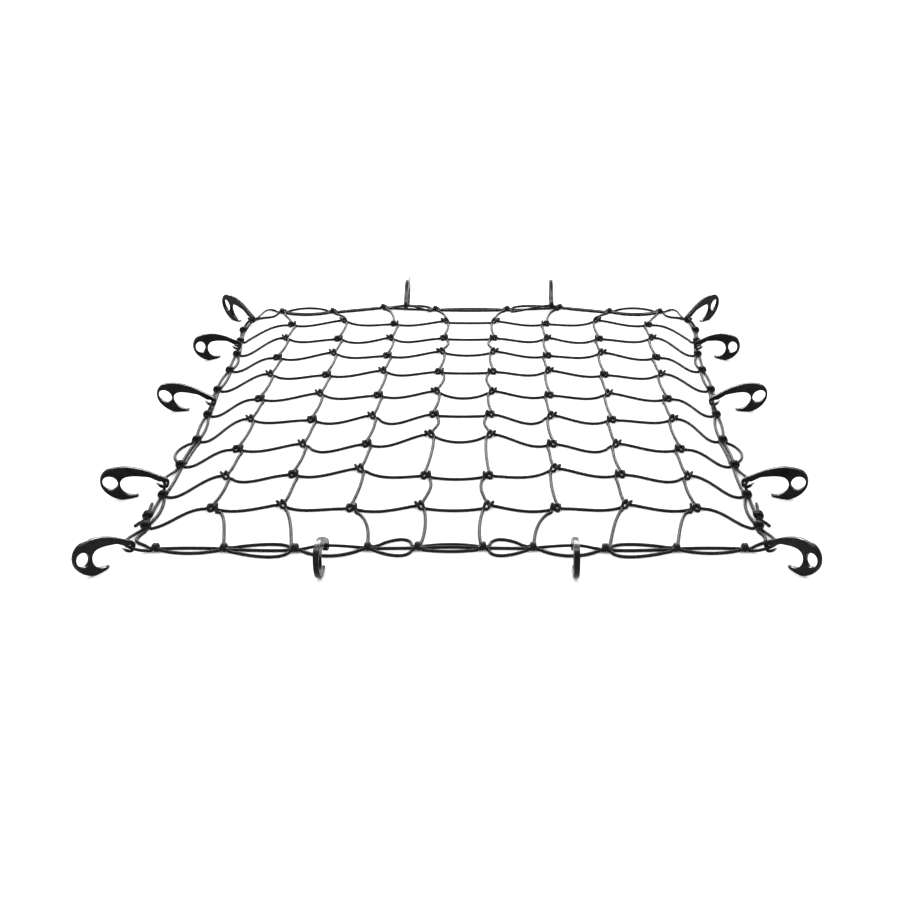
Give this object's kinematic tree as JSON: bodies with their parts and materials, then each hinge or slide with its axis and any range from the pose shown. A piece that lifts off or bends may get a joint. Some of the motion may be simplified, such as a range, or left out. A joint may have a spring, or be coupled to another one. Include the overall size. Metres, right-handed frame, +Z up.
{
  "type": "cargo net",
  "caption": "Square-mesh net of knotted black elastic cord with a doubled border cord and moulded plastic hooks around its edge, laid out flat.",
  "frame": {"origin": "on the ground under the middle of the whole part, hooks included", "axes": "+Z up; the net's front edge, nearest the viewer in the picture, faces -Y, and its left and right sides face -X and +X"},
  "size_m": [1.0168, 1.1818, 0.0517],
  "materials": {
    "mesh_cord": "braided elastic cord, slightly shiny",
    "border_cord": "braided elastic cord, slightly shiny",
    "hook_plastic": "glossy moulded black"
  },
  "bodies": {
    "root": {"mesh_net": "mesh_cord", "border_cord": "border_cord", "hook_corner_front_left": "hook_plastic", "hook_corner_front_right": "hook_plastic", "hook_front_left": "hook_plastic", "hook_front_right": "hook_plastic", "hook_side_front_left": "hook_plastic", "hook_side_front_right": "hook_plastic", "hook_side_middle_left": "hook_plastic", "hook_side_middle_right": "hook_plastic", "hook_side_rear_left": "hook_plastic", "hook_side_rear_right": "hook_plastic", "hook_corner_back_left": "hook_plastic", "hook_corner_back_right": "hook_plastic", "hook_back_left": "hook_plastic", "hook_back_right": "hook_plastic"}
  },
  "joints": []
}
